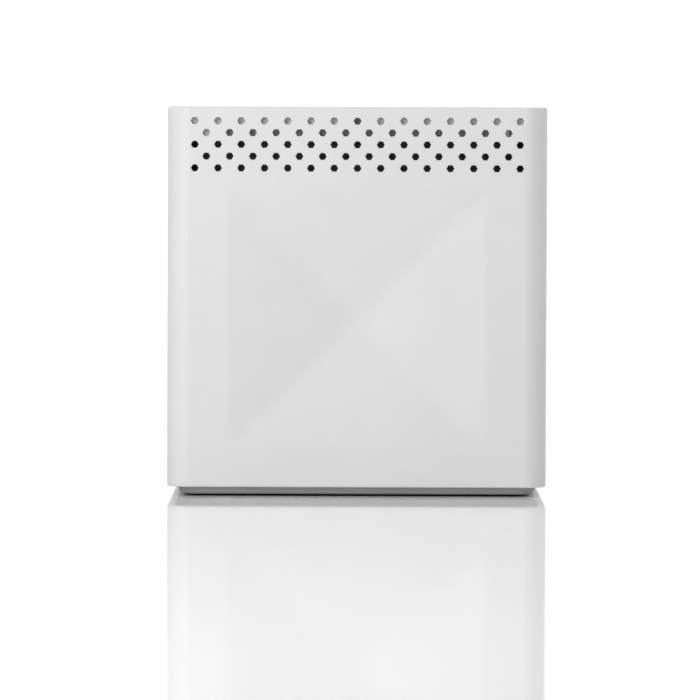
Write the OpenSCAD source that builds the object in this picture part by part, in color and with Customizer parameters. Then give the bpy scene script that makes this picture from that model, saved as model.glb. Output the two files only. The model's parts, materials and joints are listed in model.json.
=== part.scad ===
// Cube-shaped wireless router: a white vented sleeve over a black frame that
// carries the boards, the antennas and the row of ports at the back.
// Millimetres. +Z is up, the front faces -Y and the ports face +Y.
// The origin is on the table, under the centre of the casing.

/* [Casing] */
// Width and depth of the casing
body_w = 95; // [95:0.5:98]
// Overall height, from the table to the rim
body_h = 97.5; // [97.5:0.5:102]
// Radius of the four upright corners
corner_r = 6; // [5.5:0.25:6.5]
// Thickness of the casing's walls
wall = 2.2; // [2:0.1:2.4]
// Height of the casing's bottom lip above the table
lip_z = 2.4; // [2.2:0.1:2.6]

/* [Faceted squares] */
// Side of the shallow faceted square on a face
facet_w = 66; // [56:1:70]
// Height of the square's centre above the table
facet_z = 44.4; // [44.2:0.1:45]
// Slope of the four facets of a side, in degrees
facet_slope = 8; // [5:0.5:8.5]
// Slope of the four facets of the cover, in degrees
cover_slope = 2; // [1:0.25:2.25]

/* [Vents] */
// Width of a hexagonal vent hole across its flats
vent_af = 1.7; // [1.2:0.1:2]
// Distance between two holes of a row
vent_pitch = 5.8; // [5.4:0.1:5.9]
// Distance between two rows
vent_row = 2.94; // [2.6:0.02:3]
// Holes in the longer rows
vent_count = 15; // [11:2:15]
// Rows of holes
vent_rows = 5; // [3:2:5]
// Distance from the rim to the first row
vent_top = 3.6; // [3.4:0.1:3.8]

/* [Moving parts] */
// Travel of the power button
power_travel = 1.5; // [1:0.1:1.5]
// Travel of the pairing button
pairing_travel = 0.6; // [0.3:0.1:0.6]
// Travel of the reset button
reset_travel = 0.4; // [0.2:0.1:0.4]

/* [Ports] */
// Radius of the power socket's hole
power_hole_r = 3.2; // [3:0.1:3.3]
// Radius of the power socket's pin
power_pin_r = 1.0; // [0.9:0.05:1.25]

/* [Hidden] */
$fn = 48;

// Shared planes and clearances
half = body_w / 2;
corner_c = half - corner_r;
inside = half - wall;
facet_wall = 1.6;
gap = 0.25;
over = 1;

// Top cover
cover_half = inside - gap;
cover_z = body_h - 0.3;
cover_t = 2.2;
skirt_t = 1.4;
skirt_z = body_h - 5.1;
lug_z = body_h - 8.5;

// Base and feet
foot_h = 0.5;
floor_z = 2.5;
base_r = 5;
base_top = half - 2.6;
base_lean = 15;
base_edge_r = 1.4;
base_wall_z = 9;
foot_r = 5.5;
foot_x = 28;
foot_y = 35;

// Frame, the collar behind the vents, and the screws that hold the frame to the base
frame_half = inside - 4.5;
frame_wall = 1.4;
frame_in = frame_half - frame_wall;
frame_r = 4;
frame_z = 9.3;
barb_y = 34;
barb_z = 66;
shelf_z = 79;
collar_half = inside - 1.9;
collar_z = skirt_z - 0.4;
neck_half = 35;
neck_z = 85;
boss_x = 36.5;
boss_front = -36.5;
boss_back = 14;
boss_top = 30;
screw_r = 1.2;

// Main board
board_z = 10;
board_t = 1.6;
deck = board_z + board_t;
board_half = frame_in - 0.2;
board_rear = 42;
board_screw = [[30, -36], [-30, -36], [33, 22], [-33, 22]];
board_screw_r = 1.0;

// Ports along the back: across (x), and the planes that they share
jack_w = 16;
jack_h = 13.6;
jack_back = 26;
jack_front = inside + 0.3;
wan_x = 9;
lan_x = -8.5;
usb_x = -25.5;
power_x = 24;
button_x = 34;
reset_x = -36;
axis_z = 18.1;
reset_z = 15.5;
panel_out = inside - 0.2;
panel_t = 1.5;
panel_in = panel_out - panel_t;
port_opening = 39.2;
port_top = 29;
panel_half = 41.4;
panel_z = [base_wall_z, 31];
window_x = 39;
window_z = [9.8, 27.6];

// SIM tray, low on the left side
sim_y = -2;
sim_z = 7.7;
sim_w = 15.4;
sim_h = 2.8;

// Heatsink, over the processor
sink_y = -5;
sink_z = 13.8;
sink_top = 42;
sink_half = 24;
sink_pin_x = 22;

// Indicator board, under the cover
lamp_board_z = 86;
lamp_board_t = 1.2;
lamp_deck = lamp_board_z + lamp_board_t;
lamp_x = [-16, -8, 0, 8, 16];
lamp_y = -39;
lamp_screw = [[20, -30], [-20, -30], [20, 8], [-20, 8]];
button_r = 6.5;
bezel_r = 8;
bezel_z = cover_z - 0.9;

// Internal aerial leads: 1.13 mm coax, each from its aerial down to the board
coax_r = 0.565;
side_plug = [33, -2.5];
front_plug = [28.5, -2.5];
lead_z = 12.6;
side_route = [
    [38.2, 6, 36], [37.9, 6, 34], [37.7, 5.6, 31], [37.6, 4.6, 27], [37.6, 3, 23], [37.6, 1.2, 19],
    [37.6, -0.6, 15.6], [37.5, -1.6, 14], [37.1, -2.2, 13], [36.4, -2.5, 12.65], [35.4, -2.5, 12.6]
];
front_route = [
    [20, -38.2, 37], [20.4, -37.8, 35], [21.4, -37, 31], [22.8, -35.8, 26], [24.4, -34, 21],
    [26, -32, 17.4], [27.2, -30.2, 15.6], [28, -28, 15], [28.4, -22, 15], [28.5, -15, 15],
    [28.5, -9, 15], [28.5, -7.4, 14.7], [28.5, -6.4, 13.8], [28.5, -5.8, 13],
    [28.5, -5.4, 12.65], [28.5, -4.9, 12.6]
];

// ---------- shared shapes ----------

module rounded_square(half_side, r) {
    square([2 * half_side, 2 * (half_side - r)], center = true);
    square([2 * (half_side - r), 2 * half_side], center = true);
    for (x = [-1, 1], y = [-1, 1])
        translate([x * (half_side - r), y * (half_side - r)]) circle(r);
}

// Runs the 2D profile round a square with rounded corners.
// The profile's X is the distance out from the corners' centres.
module round_the_square(centre) {
    for (turn = [0:3]) rotate([0, 0, 90 * turn]) translate([centre, centre, 0]) {
        rotate_extrude(angle = 90) children();
        rotate([90, 0, 0]) linear_extrude(2 * centre) children();
    }
}

module each_side() {
    for (turn = [0:3]) rotate([0, 0, 90 * turn]) children();
}

// Stands a 2D shape up on the front, from depth y0 to y1
module upright(y0, y1) {
    translate([0, y1, 0]) rotate([90, 0, 0]) linear_extrude(y1 - y0) children();
}

function arc(cx, cy, r, a0, a1, n = 5) =
    [for (i = [0:n]) let (a = a0 + (a1 - a0) * i / n) [cx + r * cos(a), cy + r * sin(a)]];

// A square dish of four sloping facets that meet at its centre, with a soft edge.
// It opens towards -Z and its rim lies in the plane z = 0.
module facet_dish(side, slope, edge_r = 12) {
    h = side / 2;
    depth = edge_r * (1 - cos(slope)) + (h - edge_r * sin(slope)) * tan(slope);
    dish = concat(
        [[-h, -over], [h, -over]],
        arc(h, edge_r, edge_r, -90, -90 - slope, 6),
        [[0, depth]],
        arc(-h, edge_r, edge_r, slope - 90, -90, 6)
    );
    intersection() {
        upright(-h, h) polygon(dish);
        rotate([0, 0, 90]) upright(-h, h) polygon(dish);
    }
}

module slot(length, r) {
    square([length - 2 * r, 2 * r], center = true);
    for (x = [-1, 1]) translate([x * (length / 2 - r), 0]) circle(r);
}

function cross3(a, b) =
    [a.y * b.z - a.z * b.y, a.z * b.x - a.x * b.z, a.x * b.y - a.y * b.x];
function unit(v) = v / norm(v);

// A tube of 8 sides along a list of points
module tube(points, r, sides = 8) {
    n = len(points);
    heading = [for (i = [0:n - 1])
        unit(points[min(i + 1, n - 1)] - points[max(i - 1, 0)])];
    side = [for (h = heading) unit(cross3(h, [0.6, 0.8, 0]))];
    ring = [for (i = [0:n - 1], k = [0:sides - 1])
        let (a = 360 * k / sides, up = cross3(heading[i], side[i]))
            points[i] + r * (cos(a) * side[i] + sin(a) * up)];
    walls = [for (i = [0:n - 2], k = [0:sides - 1], half = [0, 1])
        let (a = i * sides + k, b = i * sides + (k + 1) % sides)
            half == 0 ? [a, b, b + sides] : [a, b + sides, a + sides]];
    start = [for (k = [sides - 1:-1:0]) k];
    end = [for (k = [0:sides - 1]) (n - 1) * sides + k];
    polyhedron(ring, concat([start], walls, [end]));
}

// ---------- casing ----------

module vent_holes() {
    for (row = [0:vent_rows - 1]) {
        count = vent_count - row % 2;
        for (i = [0:count - 1])
            translate([(i - (count - 1) / 2) * vent_pitch, body_h - vent_top - row * vent_row])
                circle(vent_af / sqrt(3), $fn = 6);
    }
}

module casing_profile() {
    top_r = 0.6;
    lip_r = 0.5;
    out = corner_r;
    polygon(concat(
        [[out - wall, lip_z + 0.3], [out - wall + 0.3, lip_z]],
        arc(out - lip_r, lip_z + lip_r, lip_r, -90, 0),
        arc(out - top_r, body_h - top_r, top_r, 0, 90),
        [[out - wall + 0.2, body_h], [out - wall, body_h - 0.2]]
    ));
}

module outer_casing() color("white") {
    ledge = 5.7;
    difference() {
        union() {
            round_the_square(corner_c) casing_profile();
            // the facets' backs, which stand out inside the walls
            for (turn = [-1, 0, 1]) rotate([0, 0, 90 * turn])
                translate([0, -half + facet_wall, facet_z]) rotate([-90, 0, 0])
                    facet_dish(facet_w, facet_slope);
            // ledges in the corners, which the cover sits on
            intersection() {
                translate([0, 0, skirt_z - 3.1]) linear_extrude(3) rounded_square(half - 0.5, corner_r - 0.5);
                for (x = [-1, 1], y = [-1, 1])
                    translate([x * (half - ledge / 2), y * (half - ledge / 2), skirt_z])
                        cube([ledge, ledge, 8], center = true);
            }
        }
        each_side() upright(-half - over, -inside + over) vent_holes();
        for (turn = [-1, 0, 1]) rotate([0, 0, 90 * turn])
            translate([0, -half, facet_z]) rotate([-90, 0, 0])
                facet_dish(facet_w, facet_slope);
        // grooves that the cover's barbs and the frame's barbs click into
        each_side() translate([-41, -inside - 0.5, lug_z]) cube([6.5, 1, 1.2]);
        for (x = [-1, 1], y = [-1, 1]) translate([x * inside, y * barb_y, barb_z + 0.5])
            cube([1, 5.6, 1.6], center = true);
        // window for the ports
        upright(inside - over, half + over) translate([0, (window_z[0] + window_z[1]) / 2])
            port_window();
        // slot for the SIM tray
        translate([-half - over, sim_y, sim_z]) rotate([90, 0, 90]) linear_extrude(wall + 2 * over)
            slot(sim_w + 0.3, (sim_h + 0.3) / 2);
    }
}

module port_window() {
    r = 1.5;
    h = (window_z[1] - window_z[0]) / 2;
    square([2 * window_x, 2 * (h - r)], center = true);
    square([2 * (window_x - r), 2 * h], center = true);
    for (x = [-1, 1], y = [-1, 1]) translate([x * (window_x - r), y * (h - r)]) circle(r);
}

// ---------- cover and pairing button ----------

module top_cover() color("white") {
    c = corner_c;
    u = cover_half - c;
    difference() {
        union() {
            round_the_square(c) polygon([
                [0, cover_z - cover_t], [0, cover_z], [u - 0.3, cover_z], [u, cover_z - 0.3],
                [u, skirt_z], [u - skirt_t, skirt_z], [u - skirt_t, cover_z - cover_t]
            ]);
            translate([0, 0, cover_z - cover_t / 2]) cube([2 * c, 2 * c, cover_t], center = true);
            // two lugs a side, and one set back between them
            each_side() {
                translate([-41.5, -cover_half, lug_z]) cube([7.5, skirt_t, skirt_z - lug_z + over]);
                translate([33.5, -cover_half, lug_z]) cube([4.2, skirt_t, skirt_z - lug_z + over]);
                translate([-1.8, -cover_half + skirt_t, lug_z])
                    cube([3.6, skirt_t, cover_z - cover_t - lug_z + 0.1]);
                translate([-40.5, -cover_half - 0.4, lug_z + 0.3]) cube([5.5, 0.6, 0.7]);
            }
            for (p = lamp_screw) translate([p.x, p.y, lamp_deck])
                cylinder(r = 2.5, h = cover_z - cover_t - lamp_deck + 0.1);
        }
        translate([0, 0, cover_z]) rotate([180, 0, 0])
            facet_dish(facet_w, cover_slope);
        each_side() translate([-1.6, -cover_half - over, skirt_z - over])
            cube([3.2, over + skirt_t + 0.05, 2.6 + over]);
        translate([0, 0, cover_z - cover_t - over]) cylinder(r = bezel_r - 0.5, h = cover_t + 2 * over);
        for (x = lamp_x) translate([x, lamp_y, cover_z - cover_t - over])
            cylinder(r = 1.1, h = cover_t + 2 * over);
        for (p = lamp_screw) translate([p.x, p.y, lamp_deck - over]) cylinder(r = 0.9, h = 6.8);
    }
    // bezel and guide of the pairing button
    translate([0, 0, 93.6]) difference() {
        cylinder(r = bezel_r, h = bezel_z - 93.6);
        translate([0, 0, -over]) cylinder(r = button_r + 0.15, h = 5 + over);
    }
}

module pairing_button() color("whitesmoke") {
    top = bezel_z + 0.25;
    rotate_extrude() polygon(concat(
        [[0, 92.6], [7.4, 92.6], [7.4, 93.4], [button_r, 93.4]],
        arc(button_r - 0.5, top - 0.5, 0.5, 0, 90),
        [[0, top - 0.25]]
    ));
}

module pairing_plunger() color("dimgray")
    translate([0, 0, 89.7]) cylinder(r = 1.7, h = 2.9);

module pairing_switch() color("silver") difference() {
    translate([0, 0, lamp_deck + 1.7]) cube([6.2, 6.2, 3.4], center = true);
    translate([0, 0, 89]) cylinder(r = 1.9, h = 4);
}

module light_guide() color("aliceblue") {
    for (x = lamp_x) translate([x, lamp_y, 89.4]) cylinder(r = 1, h = cover_z - 89.4);
    translate([0, lamp_y, 93]) cube([36, 3, 1.4], center = true);
}

module indicator_board() color("darkgreen") difference() {
    translate([-24, -42, lamp_board_z]) cube([48, 54, lamp_board_t]);
    for (p = lamp_screw) translate([p.x, p.y, lamp_board_z - over]) cylinder(r = 1.1, h = 4);
}

module indicator_lamps() color("lightyellow")
    for (x = lamp_x) translate([x, lamp_y, lamp_deck + 0.35]) cube([1.6, 0.8, 0.7], center = true);

module indicator_screws() color("silver")
    for (p = lamp_screw) translate([p.x, p.y, lamp_board_z]) screw(0.85, 1.9, 1.5, 6);

// A pan-head screw with its head below z = 0 and its shank above
module screw(r, head_r, head_h, length) {
    difference() {
        translate([0, 0, -head_h]) cylinder(r1 = head_r - 0.4, r2 = head_r, h = head_h);
        for (turn = [0, 90]) rotate([0, 0, turn]) translate([0, 0, -head_h])
            cube([head_r * 1.1, 0.5, 1.4], center = true);
    }
    cylinder(r = r, h = length);
}

// ---------- base ----------

module base_plinth() color("dimgray") {
    c = base_top - base_r;
    flange = cover_half - c;
    // centre of the rounded lower edge, which meets the leaning wall above it
    edge_z = foot_h + base_edge_r;
    wall_foot = edge_z - base_edge_r * sin(base_lean);
    edge_x = base_r - (lip_z - wall_foot) * tan(base_lean) - base_edge_r * cos(base_lean);
    difference() {
        union() {
            round_the_square(c) polygon(concat(
                [[0, foot_h]], arc(edge_x, edge_z, base_edge_r, 270, 360 - base_lean),
                [[base_r, lip_z], [base_r, lip_z + 0.5], [flange, lip_z + 0.5],
                 [flange, base_wall_z], [flange - 1.5, base_wall_z], [flange - 1.5, floor_z],
                 [0, floor_z]]
            ));
            translate([-c, -c, foot_h]) cube([2 * c, 2 * c, floor_z - foot_h]);
            for (p = board_screw) translate([p.x, p.y, floor_z - 0.1])
                cylinder(r = 3, h = board_z - floor_z + 0.1);
            for (x = [-1, 1], y = [boss_front, boss_back]) translate([x * boss_x, y, floor_z - 0.1])
                cylinder(r = 2.8, h = frame_z - floor_z + 0.1);
        }
        for (p = board_screw) translate([p.x, p.y, 4]) cylinder(r = board_screw_r + 0.05, h = 8);
        for (x = [-1, 1], y = [boss_front, boss_back]) translate([x * boss_x, y, 0]) {
            cylinder(r = screw_r + 0.2, h = 12);
            cylinder(r = 2.4, h = 2.9);
        }
        for (x = [-1, 1], y = [-1, 1]) translate([x * foot_x, y * foot_y, 0])
            cylinder(r = foot_r + 0.1, h = 1);
        // air slots in the floor, in two banks
        for (side = [-1, 1], i = [0:6]) translate([side * 21, (i - 3) * 5.2, 0])
            linear_extrude(4) slot(13, 1.1);
        // recess for the rating label
        translate([-11.5, -19, 0]) cube([23, 38, foot_h + 0.3]);
        // way in for the SIM tray
        translate([-half, sim_y - 8.2, sim_z - 2.4]) cube([8, 16.4, 6]);
    }
}

module rubber_feet() color("black")
    for (x = [-1, 1], y = [-1, 1]) translate([x * foot_x, y * foot_y, 0]) rotate_extrude()
        polygon([[0, 0], [foot_r - 0.3, 0], [foot_r, 0.3], [foot_r, 1], [0, 1]]);

module base_screws() color("silver")
    for (x = [-1, 1], y = [boss_front, boss_back]) translate([x * boss_x, y, 2.9])
        screw(screw_r, 2.2, 1.8, 16);

module rating_label() color("gainsboro")
    translate([-11, -18.5, foot_h + 0.1]) cube([22, 37, 0.2]);

// ---------- frame and rear panel ----------

module inner_frame() color("black") {
    c = frame_half - frame_r;
    collar_in = collar_half - frame_wall;
    difference() {
        union() {
            // walls, shelf and the collar that stands behind the vents
            round_the_square(c) polygon([
                [frame_in - c, frame_z], [frame_half - c, frame_z], [frame_half - c, shelf_z - 3],
                [collar_half - c, shelf_z], [collar_half - c, collar_z], [collar_in - c, collar_z],
                [collar_in - c, shelf_z + frame_wall], [0, shelf_z + frame_wall], [0, shelf_z],
                [frame_in - c, shelf_z - frame_wall]
            ]);
            translate([0, 0, shelf_z + frame_wall / 2]) cube([2 * c, 2 * c, frame_wall], center = true);
            translate([0, 0, shelf_z]) linear_extrude(neck_z - shelf_z) rounded_square(neck_half, 3);
            for (x = [-1, 1], y = [-1, 1]) translate([x * (frame_half + 2), y * barb_y, barb_z + 0.5])
                cube([5.6, 5, 1], center = true);
            for (x = [-1, 1], y = [boss_front, boss_back]) translate([x * boss_x, y, frame_z]) {
                h = boss_top - frame_z;
                cylinder(r = 2.8, h = h);
                translate([x * 2, 0, h / 2]) cube([3, 2, h], center = true);
            }
        }
        // the way up through the neck
        translate([0, 0, shelf_z - over]) linear_extrude(10) rounded_square(neck_half - frame_wall, 2);
        // windows beside the aerials on three sides, and the ports' opening at the back
        for (turn = [-1, 0, 1]) rotate([0, 0, 90 * turn]) {
            translate([-30, -half, 14]) cube([60, 12, 14]);
            translate([-30, -half, 53]) cube([60, 12, 22]);
        }
        translate([-port_opening, 37, 0]) cube([2 * port_opening, 8, port_top]);
        translate([-30, 37, 34]) cube([60, 8, 40]);
        // notches for the lugs that are set back
        each_side() translate([-2.1, -collar_half - over, lug_z - 0.3]) cube([4.2, 4, 5]);
        for (x = [-1, 1], y = [boss_front, boss_back]) translate([x * boss_x, y, 0])
            cylinder(r = screw_r + 0.05, h = 20);
    }
}

module rear_panel() color("dimgray") difference() {
    union() {
        translate([-panel_half, panel_in, panel_z[0]])
            cube([2 * panel_half, panel_t, panel_z[1] - panel_z[0]]);
        // rib that rests against the frame
        translate([-36, frame_half, panel_z[1] - 1.5]) cube([72, panel_in - frame_half + 0.1, 1.5]);
    }
    upright(panel_in - over, panel_out + over) {
        for (x = [wan_x, lan_x]) translate([x - jack_w / 2 - 0.15, deck - 0.15])
            square([jack_w + 0.3, jack_h + 0.3]);
        translate([usb_x - 6.75, deck - 0.15]) square([13.5, 6.1]);
        translate([power_x, axis_z]) circle(4.3);
        translate([button_x, axis_z]) circle(3.7);
        translate([reset_x, reset_z]) circle(0.9);
    }
    // countersink round the reset pinhole
    translate([reset_x, panel_out, reset_z]) rotate([90, 0, 0]) translate([0, 0, -0.01])
        cylinder(r1 = 1.5, r2 = 0.9, h = 0.6);
}

// ---------- power and reset buttons ----------

module power_button() color("whitesmoke") translate([button_x, 0, axis_z]) {
    front = half - 0.8;
    translate([0, front, 0]) rotate([90, 0, 0]) rotate_extrude() polygon(concat(
        [[0, 0.2]],
        arc(3.1, 0.4, 0.4, -90, 0),
        [[3.5, front - panel_in + 0.2], [4.2, front - panel_in + 0.2], [4.2, front - panel_in + 1.2],
         [0, front - panel_in + 1.2]]
    ));
    translate([-1.5, 36, -1.5]) cube([3, panel_in - 1.2 - 36, 3]);
}

module power_switch() color("darkslategray") difference() {
    translate([button_x - 4, 29, deck]) cube([8, 11, 10]);
    translate([button_x - 1.7, 34, axis_z - 1.7]) cube([3.4, 8, 3.4]);
}

module reset_button() color("darkred")
    translate([reset_x, 43.3, reset_z]) rotate([90, 0, 0]) cylinder(r = 1, h = 2.8);

module reset_switch() color("silver") difference() {
    translate([reset_x - 3, 37, deck]) cube([6, 5.5, 6.6]);
    translate([reset_x, 44, reset_z]) rotate([90, 0, 0]) cylinder(r = 1.15, h = 4);
}

// ---------- network jacks ----------

// Mouth of a modular jack: the plug's opening and two steps for its latch
module jack_mouth() {
    translate([-5.95, 4]) square([11.9, 8]);
    translate([-3.1, 2.4]) square([6.2, 1.7]);
    translate([-2, 1.2]) square([4, 1.3]);
}

module jack_shell(x) color("silver") translate([x, 0, deck]) difference() {
    translate([-jack_w / 2, jack_back, 0]) cube([jack_w, jack_front - jack_back, jack_h]);
    translate([-jack_w / 2 + 0.3, jack_back + 0.3, -over])
        cube([jack_w - 0.6, jack_front - jack_back - 0.6, jack_h - 0.3 + over]);
    upright(jack_front - over, jack_front + over) jack_mouth();
    upright(jack_front - over, jack_front + over) for (s = [-1, 1])
        translate([s * 5.6 - 1.5, 12.15]) square([3, 0.95]);
}

module jack_housing(x) color("black") translate([x, 0, deck]) difference() {
    translate([-7.7, jack_back + 0.3, 0]) cube([15.4, jack_front - jack_back - 0.6, 13.3]);
    upright(32.6, jack_front + over) jack_mouth();
    upright(44, jack_front + over) for (s = [-1, 1]) translate([s * 5.6 - 1.5, 12.15]) square([3, 0.95]);
}

module jack_contacts(x) color("gold") translate([x, 0, deck])
    for (i = [0:7]) translate([(i - 3.5) * 1.02 - 0.175, 0, 0]) rotate([90, 0, 90])
        linear_extrude(0.35) polygon([
            [43.6, 12], [43.6, 11.7], [34.2, 9.4], [32.6, 9.4], [32.6, 9.1], [34.3, 9.1],
            [43.9, 11.4], [43.9, 12]
        ]);

module jack_lights() for (x = [wan_x, lan_x], s = [-1, 1])
    color(s > 0 ? "limegreen" : "orange") translate([x + s * 5.6 - 1.5, 44, deck + 12.15])
        cube([3, jack_front - 44, 0.95]);

// ---------- USB port and power jack ----------

module usb_port_shell() color("silver") translate([usb_x, 0, deck]) {
    difference() {
        translate([-6.6, 32, 0]) cube([13.2, jack_front + 0.2 - 32, 5.8]);
        translate([-6.25, 32.35, 0.35]) cube([12.5, 20, 5.1]);
    }
}

module usb_port_tongue() color("black") translate([usb_x, 0, deck]) {
    translate([-6.25, 32.35, 0.35]) cube([12.5, 3, 5.1]);
    translate([-5.55, 35.3, 3.3]) cube([11.1, 9, 1.84]);
}

module power_jack() color("black") translate([power_x, 0, 0]) difference() {
    union() {
        translate([-4.5, 31, deck]) cube([9, panel_in - 0.2 - 31, 11]);
        translate([0, jack_front, axis_z]) rotate([90, 0, 0]) cylinder(r = 4.2, h = 6);
    }
    translate([0, jack_front + over, axis_z]) rotate([90, 0, 0]) cylinder(r = power_hole_r, h = 10 + over);
}

module power_jack_pin() color("gold") translate([power_x, jack_front - 10, axis_z]) rotate([-90, 0, 0])
    rotate_extrude() polygon([[0, 0], [power_pin_r, 0], [power_pin_r, 8.4], [0.5, 9], [0, 9]]);

// ---------- SIM tray ----------

module sim_tray() color("white") translate([0, sim_y, sim_z]) {
    translate([-half + 0.05, 0, 0]) rotate([90, 0, 90]) difference() {
        linear_extrude(1.9) slot(sim_w, sim_h / 2);
        translate([5.6, 0, -over]) cylinder(r = 0.45, h = 4);
    }
    difference() {
        translate([-half + 1.9, -6.8, -0.7]) cube([20.4, 13.6, 1.4]);
        translate([-half + 8.3, -4.45, -0.1]) cube([12.4, 8.9, 2]);
        translate([-half + 9.6, -3.4, -2]) cube([9.8, 6.8, 4]);
        translate([-half + 1, 5.6, 0]) rotate([0, 90, 0]) cylinder(r = 0.45, h = 4);
    }
}

module sim_card() color("goldenrod")
    translate([-half + 8.35, sim_y - 4.4, sim_z - 0.1]) cube([12.3, 8.8, 0.67]);

module sim_socket() color("silver") difference() {
    translate([-frame_in + 0.1, sim_y - 8, sim_z - 1.6]) cube([15.8, 16, board_z - sim_z + 1.6]);
    translate([-half, sim_y - 7.05, sim_z - 0.95]) cube([half - frame_in + 14.8, 14.1, 1.9]);
}

// ---------- main board and what is on it ----------

module main_board() color("darkgreen") difference() {
    translate([0, 0, board_z]) linear_extrude(board_t) difference() {
        translate([-board_half, -board_half]) square([2 * board_half, board_half + board_rear]);
        for (x = [-1, 1], y = [boss_front, boss_back])
            translate([x * (boss_x + 3), y < 0 ? y - 1 : y]) square([12.4, y < 0 ? 8.8 : 6.8], center = true);
    }
    for (p = board_screw) translate([p.x, p.y, 0]) cylinder(r = 1.3, h = 20);
    for (x = [-1, 1]) translate([x * sink_pin_x, sink_y, 0]) cylinder(r = 1.2, h = 20);
}

module board_screws() color("silver")
    for (p = board_screw) translate([p.x, p.y, deck]) rotate([180, 0, 0]) screw(board_screw_r, 2.4, 1.6, 6.5);

module processor_chip() color("dimgray")
    translate([-7, sink_y - 7, deck]) cube([14, 14, 1.3]);

module thermal_pad() color("lightblue")
    translate([-7, sink_y - 7, deck + 1.3]) cube([14, 14, sink_z - deck - 1.3]);

module heatsink() color("silver") translate([0, sink_y, sink_z]) difference() {
    union() {
        translate([-sink_half, -19, 0]) cube([2 * sink_half, 38, 3]);
        for (i = [-4:4]) translate([i * 4.8 - 0.7, -19, 2.9]) cube([1.4, 38, sink_top - sink_z - 2.9]);
    }
    for (x = [-1, 1]) translate([x * sink_pin_x, 0, -over]) cylinder(r = 1.2, h = 6);
}

module heatsink_pins() color("white") for (x = [-1, 1]) translate([x * sink_pin_x, sink_y, 0]) {
    translate([0, 0, board_z - 1]) cylinder(r = 1.1, h = sink_z + 3 - board_z + 1);
    translate([0, 0, sink_z + 3]) cylinder(r = 1.9, h = 1.6);
}

module memory_chips() color("black") {
    for (x = [-15.5, 15.5]) translate([x - 4, sink_y - 6, deck]) cube([8, 12, 1.1]);
    translate([-18, 8, deck]) cube([8, 5, 1.4]);
}

module shield_can(x) color("silver") translate([x - 6.2, -30, deck]) difference() {
    cube([12.4, 22, 2.6]);
    translate([0.25, 0.25, -over]) cube([11.9, 21.5, 2.35 + over]);
    for (i = [0:3], j = [0:5]) translate([2 + 2.8 * i, 3.5 + 3 * j, 0]) cylinder(r = 0.5, h = 4, $fn = 16);
}

module ethernet_transformers() color("black")
    for (x = [wan_x, lan_x]) translate([x - 6, 15.5, deck]) cube([12, 9, 5.5]);

module capacitors() color("steelblue") {
    for (p = [[24, 26.6], [31, 4.4]]) translate([p.x, p.y, deck]) cylinder(r = 3.2, h = 8);
    for (p = [[-30, 4], [-30, 9], [21, 19]]) translate([p.x, p.y, deck]) cylinder(r = 2, h = 5);
}

module inductors() color("dimgray")
    for (p = [[30, 12], [-22, 17]]) translate([p.x - 2.5, p.y - 2.5, deck]) cube([5, 5, 3]);

// Push-on plugs, each with the square barrel that its lead runs into
module coax_plugs() color("gold") for (x = [-1, 1]) {
    translate([x * side_plug.x, side_plug.y, deck]) {
        cylinder(r = 1.3, h = 1.7);
        translate([x * 1.2, 0, lead_z - deck]) cube([2.4, 1.3, 1.3], center = true);
    }
    translate([x * front_plug.x, front_plug.y, deck]) {
        cylinder(r = 1.3, h = 1.7);
        translate([0, -1.2, lead_z - deck]) cube([1.3, 2.4, 1.3], center = true);
    }
}

// ---------- aerials, leads and the flat cable ----------

module side_antenna() color("khaki") translate([frame_in - 0.6, -28, 32]) cube([0.6, 56, 17]);
module front_antenna() color("khaki") translate([8, -frame_in, 33]) cube([28, 0.6, 15]);

module side_lead(jacket) color(jacket) tube(side_route, coax_r);
module front_lead(jacket) color(jacket) tube(front_route, coax_r);

// A flat cable of 0.3 mm, up the inside of the front from board to board
module flat_cable() color("white") {
    top = lamp_board_z - 1.5;
    translate([-5, 0, 0]) rotate([90, 0, 90]) linear_extrude(10) polygon([
        [-29.4, 12.8], [-31.4, 12.8], [-32.4, 13.8], [-32.4, top - 2], [-31.8, top - 1], [-31.8, top],
        [-31.5, top], [-31.5, top - 1], [-32.1, top - 2.1], [-32.1, 13.9], [-31.3, 13.1], [-29.4, 13.1]
    ]);
}

module flat_cable_connectors() color("ivory") {
    translate([-6.5, -29.4, deck]) cube([13, 4, 2]);
    translate([-6.5, -33, lamp_board_z - 1.5]) cube([13, 2.6, 1.5]);
}

// ---------- the nodes ----------

outer_casing();
top_cover();
pairing_button();
light_guide();
base_plinth();
rubber_feet();
base_screws();
rating_label();
inner_frame();
rear_panel();
power_button();
power_switch();
reset_button();
reset_switch();
jack_shell(wan_x);  // wan_jack_shell
jack_housing(wan_x);  // wan_jack_housing
jack_contacts(wan_x);  // wan_jack_contacts
jack_shell(lan_x);  // lan_jack_shell
jack_housing(lan_x);  // lan_jack_housing
jack_contacts(lan_x);  // lan_jack_contacts
jack_lights();
usb_port_shell();
usb_port_tongue();
power_jack();
power_jack_pin();
sim_socket();
sim_tray();
sim_card();
main_board();
board_screws();
processor_chip();
thermal_pad();
heatsink();
heatsink_pins();
memory_chips();
shield_can(-32);  // modem_shield
shield_can(32);  // wifi_shield
ethernet_transformers();
capacitors();
inductors();
coax_plugs();
mirror([1, 0, 0]) side_antenna();  // cellular_antenna_side
mirror([1, 0, 0]) front_antenna();  // cellular_antenna_front
side_antenna();  // wifi_antenna_side
front_antenna();  // wifi_antenna_front
mirror([1, 0, 0]) side_lead("black");  // coax_cellular_side
mirror([1, 0, 0]) front_lead("black");  // coax_cellular_front
side_lead("gray");  // coax_wifi_side
front_lead("gray");  // coax_wifi_front
flat_cable();
flat_cable_connectors();
indicator_board();
indicator_lamps();
indicator_screws();
pairing_switch();
pairing_plunger();
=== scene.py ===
# Cube-shaped wireless router: looks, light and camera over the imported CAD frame.
# Lengths are in millimetres until a mesh is made, and metres after that.
import json
import math
import random

import bmesh
import bpy
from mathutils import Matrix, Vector
from mathutils.bvhtree import BVHTree


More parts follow.
